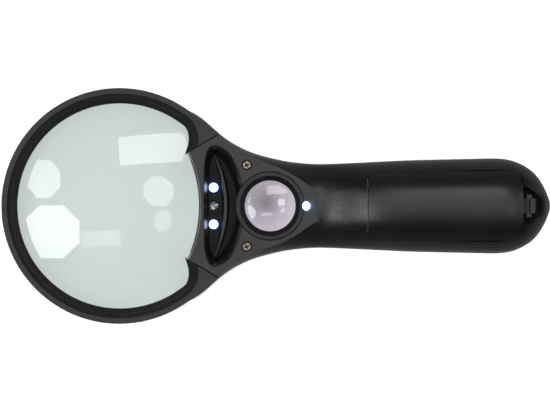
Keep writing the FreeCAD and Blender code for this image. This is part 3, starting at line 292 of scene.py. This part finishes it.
# the loupe bezel's inner wall below its top is darkened as painted shade
dress("loupe_bezel", plastic("black_loupe_bezel", (0.0090, 0.0090, 0.0088), 0.44, spark=0.8, seed=9.0, gloss=0.42, matt_and_shaded_below=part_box("loupe_bezel")[1].z - 0.0002))
dress("loupe_spacer", plastic("black_loupe_spacer", (0.0060, 0.0060, 0.0062), 0.55, spark=0.6, seed=13.0))
dress("switch_knob", plastic("black_switch_knob", (0.0160, 0.0160, 0.0158), 0.42, spark=0.7, wear=0.9, seed=2.0))
dress("switch_slider", plastic("white_switch_slider", (0.42, 0.41, 0.37), 0.40, spark=0.4, tone=0.06, seed=4.0))
dress("switch_body", metal("switch_can_steel", (0.60, 0.60, 0.58), 0.30, brush=(0.2, 1.0, 1.0)))

# ------------------------------------------------------------------ clear parts
LENS_TINT = (0.505, 0.560, 0.552)
dress("main_lens", acrylic("acrylic_main_lens", LENS_TINT))
dress("loupe_lens_upper", acrylic("acrylic_loupe_upper", (0.74, 0.72, 0.76)))
dress("loupe_lens_lower", acrylic("acrylic_loupe_lower", (0.80, 0.77, 0.82)))
dress("led_uv", acrylic("clear_uv_led_epoxy", (0.60, 0.59, 0.66), ior=1.53, dust=0.05))
for n in ("main_lens", "loupe_lens_upper", "loupe_lens_lower", "led_uv"):
    NODES[n].visible_shadow = False

# ------------------------------------------------------------------ working LEDs
for n in ("led_white_upper", "led_white_lower", "led_loupe"):
    lo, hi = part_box(n)
    top = Vector(((lo.x + hi.x) / 2, (lo.y + hi.y) / 2, hi.z - 0.0008))
    if n == "led_loupe":
        top = Vector((lo.x + 0.0016, (lo.y + hi.y) / 2, hi.z - 0.0012))
    dress(n, lit_led("lit_" + n, top, 0.0022, (0.86, 0.93, 1.0), (0.16, 0.36, 1.0), 9.0))

# ------------------------------------------------------------------ metals, boards, cells, leads
dress("neck_screws", metal("nickel_neck_screws", (0.36, 0.315, 0.25), 0.34, stain=(0.16, 0.12, 0.08), amount=0.6, slot_at=(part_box("neck_screws")[1].z, 1.0)))
dress("handle_screw", metal("nickel_handle_screw", (0.36, 0.315, 0.25), 0.34, stain=(0.16, 0.12, 0.08), amount=0.6, slot_at=(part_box("handle_screw")[0].z, -1.0)))
dress("battery_springs", metal("nickel_springs", (0.68, 0.67, 0.64), 0.24, scale=2500.0))
dress("contacts_positive", metal("nickel_contacts_positive", (0.70, 0.68, 0.63), 0.26, brush=(1.0, 0.15, 1.0)))
dress("contacts_negative", metal("nickel_contacts_negative", (0.70, 0.68, 0.63), 0.26, brush=(1.0, 0.15, 1.0)))
dress("lamp_board", board("lamp_board_mask", *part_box("lamp_board")))
dress("loupe_lamp_board", board("loupe_lamp_board_mask", *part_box("loupe_lamp_board")))
dress("switch_board", board("switch_board_mask", *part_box("switch_board")))


def chip(name):
    """Chip resistor: dark glazed body."""
    lo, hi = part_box("resistors")
    m = Mat(name)
    n = m.noise(3000.0, 2.0, 0.5)
    m.link(m.mix(m.remap(n, 0.35, 0.65, 0.0, 1.0), (0.010, 0.010, 0.012), (0.03, 0.03, 0.034)), m.b.inputs["Base Color"])
    m.link(m.remap(n, 0.3, 0.7, 0.2, 0.35), m.b.inputs["Roughness"])
    m.bump([(n, 0.000006)])
    return m.m


dress("resistors", chip("chip_resistors"))


def cell(node, way):
    """AAA cell: a plain printed sleeve without lettering, bare steel at both ends."""
    lo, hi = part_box(node)
    m = Mat("sleeve_" + node)
    x = m.axis("X")
    pos, neg = (hi.x, lo.x) if way > 0 else (lo.x, hi.x)
    s = 1.0 if way > 0 else -1.0
    along = m.math("MULTIPLY", m.math("SUBTRACT", x, neg), s)          # 0 at the negative end
    length = hi.x - lo.x
    jacket = m.math("MULTIPLY", m.math("GREATER_THAN", along, 0.0012), m.math("LESS_THAN", along, length - 0.0021))
    band = m.math("GREATER_THAN", along, length * 0.70)
    n = m.noise(120.0, 3.0, 0.6)
    f = m.noise(4000.0, 2.0, 0.5)
    scratch = m.remap(m.noise(1400.0, 4.0, 0.7, stretch=(0.2, 1.0, 1.0)), 0.66, 0.74, 0.0, 0.5)
    body = m.mix(band, (0.020, 0.022, 0.026), (0.58, 0.36, 0.12))
    body = m.mix(m.remap(n, 0.3, 0.7, 0.0, 0.3), body, (0.05, 0.05, 0.05))
    body = m.mix(scratch, body, (0.4, 0.4, 0.4))
    m.link(m.mix(jacket, (0.62, 0.62, 0.60), body), m.b.inputs["Base Color"])
    m.link(m.remap(jacket, 0.0, 1.0, 1.0, 0.25), m.b.inputs["Metallic"])
    m.link(m.math("ADD", m.remap(n, 0.3, 0.7, 0.20, 0.30), m.math("MULTIPLY", scratch, 0.2)), m.b.inputs["Roughness"])
    m.bump([(jacket, 0.00006), (f, 0.000004)])
    return m.m


for n, w in (("battery_cell_left", 1), ("battery_cell_right", 1), ("battery_cell_lower", -1)):
    dress(n, cell(n, w))

RED, DARK = sleeve("lead_sleeve_red", (0.55, 0.025, 0.02)), sleeve("lead_sleeve_black", (0.02, 0.02, 0.022))
for n in NODES:
    if n.startswith("lead_"):
        dress(n, RED if n.endswith("red") else DARK)


# ------------------------------------------------------------------ smooth surfaces
for n, o in NODES.items():
    o.data.shade_smooth()

# ------------------------------------------------------------------ what shows inside the unlit lamp
def lathe(name, profile, centre, steps=32, cap=True):
    """A turned piece: (radius, height) points round a vertical axis at centre, in metres."""
    bm = bmesh.new()
    rings = []
    for r, z in profile:
        if r < 1e-7:
            rings.append([bm.verts.new((centre[0], centre[1], centre[2] + z))])
        else:
            rings.append([bm.verts.new((centre[0] + r * math.cos(2 * math.pi * i / steps), centre[1] + r * math.sin(2 * math.pi * i / steps), centre[2] + z)) for i in range(steps)])
    for a, b in zip(rings, rings[1:]):
        for i in range(steps):
            j = (i + 1) % steps
            if len(a) == 1:
                bm.faces.new((a[0], b[j], b[i]))
            elif len(b) == 1:
                bm.faces.new((a[i], a[j], b[0]))
            else:
                bm.faces.new((a[i], a[j], b[j], b[i]))
    bmesh.ops.recalc_face_normals(bm, faces=bm.faces)
    me = bpy.data.meshes.new(name)
    bm.to_mesh(me)
    bm.free()
    for p in me.polygons:
        p.use_smooth = True
    me.set_sharp_from_angle(angle=math.radians(35))
    o = bpy.data.objects.new(name, me)
    bpy.context.scene.collection.objects.link(o)
    return o


lo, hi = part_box("led_uv")
c = ((lo.x + hi.x) / 2, (lo.y + hi.y) / 2, lo.z)
h = hi.z - lo.z
cup = lathe("uv_led_cup", [(0, 0.0004), (0.00050, 0.0004), (0.00062, h * 0.42), (0.00085, h * 0.56), (0.00078, h * 0.56), (0.00040, h * 0.46), (0, h * 0.46)], c)
cup.data.materials.append(metal("uv_led_cup_silver", (0.72, 0.72, 0.70), 0.22))
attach(cup, "root")

# ------------------------------------------------------------------ room: pale floor, soft light
scene = bpy.context.scene
w = bpy.data.worlds.new("soft_room")
scene.world = w
w.use_nodes = True
w.node_tree.nodes["Background"].inputs["Color"].default_value = (1.0, 1.0, 1.0, 1.0)
w.node_tree.nodes["Background"].inputs["Strength"].default_value = 0.05

bm = bmesh.new()
bmesh.ops.create_grid(bm, x_segments=2, y_segments=2, size=3.0)
me = bpy.data.meshes.new("floor")
bm.to_mesh(me)
bm.free()
floor = bpy.data.objects.new("floor", me)
scene.collection.objects.link(floor)
floor.location.z = -0.0002
fm = Mat("pale_floor")
fn = fm.noise(9.0, 3.0, 0.5)
fm.link(fm.mix(fm.remap(fn, 0.3, 0.7, 0.0, 1.0), (0.90, 0.90, 0.90), (0.93, 0.93, 0.93)), fm.b.inputs["Base Color"])
fm.b.inputs["Roughness"].default_value = 0.9
fm.b.inputs["Emission Color"].default_value = (1.0, 1.0, 1.0, 1.0)
# painted shadow: the floor's glow drops to a dark patch under the loupe, standing in for the shade beneath its barrel
# and lenses
loupe_lo, loupe_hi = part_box("loupe_lens_lower")
painted_shadow_spot = ((loupe_lo.x + loupe_hi.x) / 2 - 0.0008, (loupe_lo.y + loupe_hi.y) / 2 + 0.0006, 0.0)
fm.link(fm.remap(fm.near(painted_shadow_spot, 0.0002, 0.0052), 0.0, 1.0, 0.76, 0.06), fm.b.inputs["Emission Strength"])
floor.data.materials.append(fm.m)
floor.visible_diffuse = False
floor.visible_glossy = False
# what the plastic's flanks mirror of the floor: the same plane, dimmer, as under a flagged table
dim = floor.copy()
dim.data = floor.data.copy()
dim.name = "floor_in_gloss"
scene.collection.objects.link(dim)
dm = Mat("dim_floor")
dn = dm.noise(9.0, 3.0, 0.5)
dm.link(dm.mix(dm.remap(dn, 0.3, 0.7, 0.0, 1.0), (0.10, 0.10, 0.10), (0.12, 0.12, 0.12)), dm.b.inputs["Base Color"])
dm.b.inputs["Roughness"].default_value = 0.9
dm.b.inputs["Emission Color"].default_value = (1.0, 1.0, 1.0, 1.0)
dm.b.inputs["Emission Strength"].default_value = 0.28
dim.data.materials.clear()
dim.data.materials.append(dm.m)
for flag in ("visible_camera", "visible_diffuse", "visible_transmission", "visible_shadow"):
    setattr(dim, flag, False)
dim.visible_glossy = True
dim.location.z = -0.0003

lens_lo, lens_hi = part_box("main_lens")
LENS = Vector(((lens_lo.x + lens_hi.x) / 2, (lens_lo.y + lens_hi.y) / 2, lens_hi.z))
EYE = Vector((-0.0004, -0.0002, 2.52))
RADIUS = 0.135          # of the lens's outer surface, which sets where each box shows in it


def mirrored(dx, dy):
    """(point, direction): where the lens's outer surface is dx, dy from its middle, and what the camera sees mirrored there."""
    sag = RADIUS - math.sqrt(RADIUS ** 2 - dx * dx - dy * dy)
    p = LENS + Vector((dx, dy, -sag))
    n = Vector((dx, dy, math.sqrt(RADIUS ** 2 - dx * dx - dy * dy))).normalized()
    v = (p - EYE).normalized()
    return p, (v - 2 * v.dot(n) * n).normalized()


def softbox(name, dx, dy, half, sides, power, turn=0.0, away=1.25):
    """A flat studio box that the lens shows dx, dy metres from its middle. half is its (x, y) half size as shown there."""
    if sides == 4:
        pts = [(half[0], half[1]), (-half[0], half[1]), (-half[0], -half[1]), (half[0], -half[1])]
    else:
        k = 1 / math.cos(math.pi / sides)
        pts = [(half[0] * k * math.cos(2 * math.pi * (i + 0.5) / sides), half[1] * k * math.sin(2 * math.pi * (i + 0.5) / sides)) for i in range(sides)]
    c, s = math.cos(turn), math.sin(turn)
    p0, d0 = mirrored(dx, dy)
    centre = p0 + d0 * away
    bm = bmesh.new()
    vs = []
    for x, y in pts:
        p, d = mirrored(dx + x * c - y * s, dy + x * s + y * c)
        vs.append(bm.verts.new(p + d * ((centre - p).dot(d0) / d.dot(d0))))
    bm.faces.new(vs)
    bmesh.ops.recalc_face_normals(bm, faces=bm.faces)
    me = bpy.data.meshes.new(name)
    bm.to_mesh(me)
    bm.free()
    o = bpy.data.objects.new(name, me)
    scene.collection.objects.link(o)
    m = bpy.data.materials.new(name)
    m.use_nodes = True
    m.node_tree.nodes.clear()
    e = m.node_tree.nodes.new("ShaderNodeEmission")
    e.inputs["Color"].default_value = (1.0, 0.99, 0.975, 1.0)
    e.inputs["Strength"].default_value = power
    out = m.node_tree.nodes.new("ShaderNodeOutputMaterial")
    m.node_tree.links.new(e.outputs[0], out.inputs["Surface"])
    me.materials.append(m)
    o.visible_camera = False
    return o


softbox("softbox_low_left", -0.0238, -0.0090, (0.0098, 0.0092), 8, 8.5)
softbox("softbox_high_left", -0.0265, 0.0094, (0.0057, 0.0066), 8, 6.5)
softbox("softbox_high_right", 0.0120, 0.0198, (0.0122, 0.0050), 4, 5.5, turn=math.radians(4))


def area(name, where, at, size, energy, colour=(1, 1, 1)):
    l = bpy.data.lights.new(name, "AREA")
    l.shape = "RECTANGLE"
    l.size, l.size_y = size
    l.energy = energy
    l.color = colour
    o = bpy.data.objects.new(name, l)
    scene.collection.objects.link(o)
    o.location = where
    d = Vector(at) - Vector(where)
    o.rotation_euler = d.to_track_quat("-Z", "Y").to_euler()
    return o


area("side_left", (-1.25, 0.10, 0.85), (0, 0, 0), (0.8, 0.8), 2.2)
area("side_right", (1.30, 0.10, 0.80), (0, 0, 0), (0.8, 0.8), 4.0)
area("top_far", (0.10, 1.40, 0.45), (0, 0, 0), (1.6, 0.6), 1.0)
area("low_front", (0.10, -1.40, 0.45), (0, 0, 0), (1.6, 0.6), 0.7)

# a broad, weak ceiling panel round the camera, which lifts the faces that look straight up
ceiling = area("ceiling", (0.0, 0.30, 3.0), (0, 0, 0), (1.7, 1.3), 12.6)
ceiling.visible_camera = False
end_right = area("end_right", (0.80, -0.02, 1.6), (0.08, 0, 0), (0.40, 0.40), 2.0)
clear = bpy.data.collections.new("clear_parts")
for n in ("main_lens", "loupe_lens_upper", "loupe_lens_lower", "led_uv"):
    clear.objects.link(NODES[n])
ceiling.light_linking.receiver_collection = clear
end_right.light_linking.receiver_collection = clear
for c in clear.collection_objects:
    c.light_linking.link_state = "EXCLUDE"

# glow of the working lamps on the plastic round them
for n in ("led_white_upper", "led_white_lower", "led_loupe"):
    lo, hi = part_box(n)
    l = bpy.data.lights.new("glow_" + n, "POINT")
    l.energy = 0.0009 if n == "led_loupe" else 0.00012
    l.shadow_soft_size = 0.0012
    l.color = (0.35, 0.55, 1.0)
    o = bpy.data.objects.new("glow_" + n, l)
    scene.collection.objects.link(o)
    o.location = ((lo.x + hi.x) / 2, (lo.y + hi.y) / 2, hi.z + 0.0030)

# ------------------------------------------------------------------ camera, straight above the lamp side
cam = bpy.data.cameras.new("camera")
cam.sensor_width = 36.0
camera = bpy.data.objects.new("camera", cam)
scene.collection.objects.link(camera)
PLANE, WIDTH = 0.020, 0.1911
cam.lens = 36.0 * (EYE.z - PLANE) / WIDTH
cam.clip_start, cam.clip_end = 0.05, 20.0
camera.location = EYE
camera.rotation_euler = (0.0, 0.0, 0.0)
scene.camera = camera
scene.view_settings.view_transform = "Standard"
scene.view_settings.look = "None"
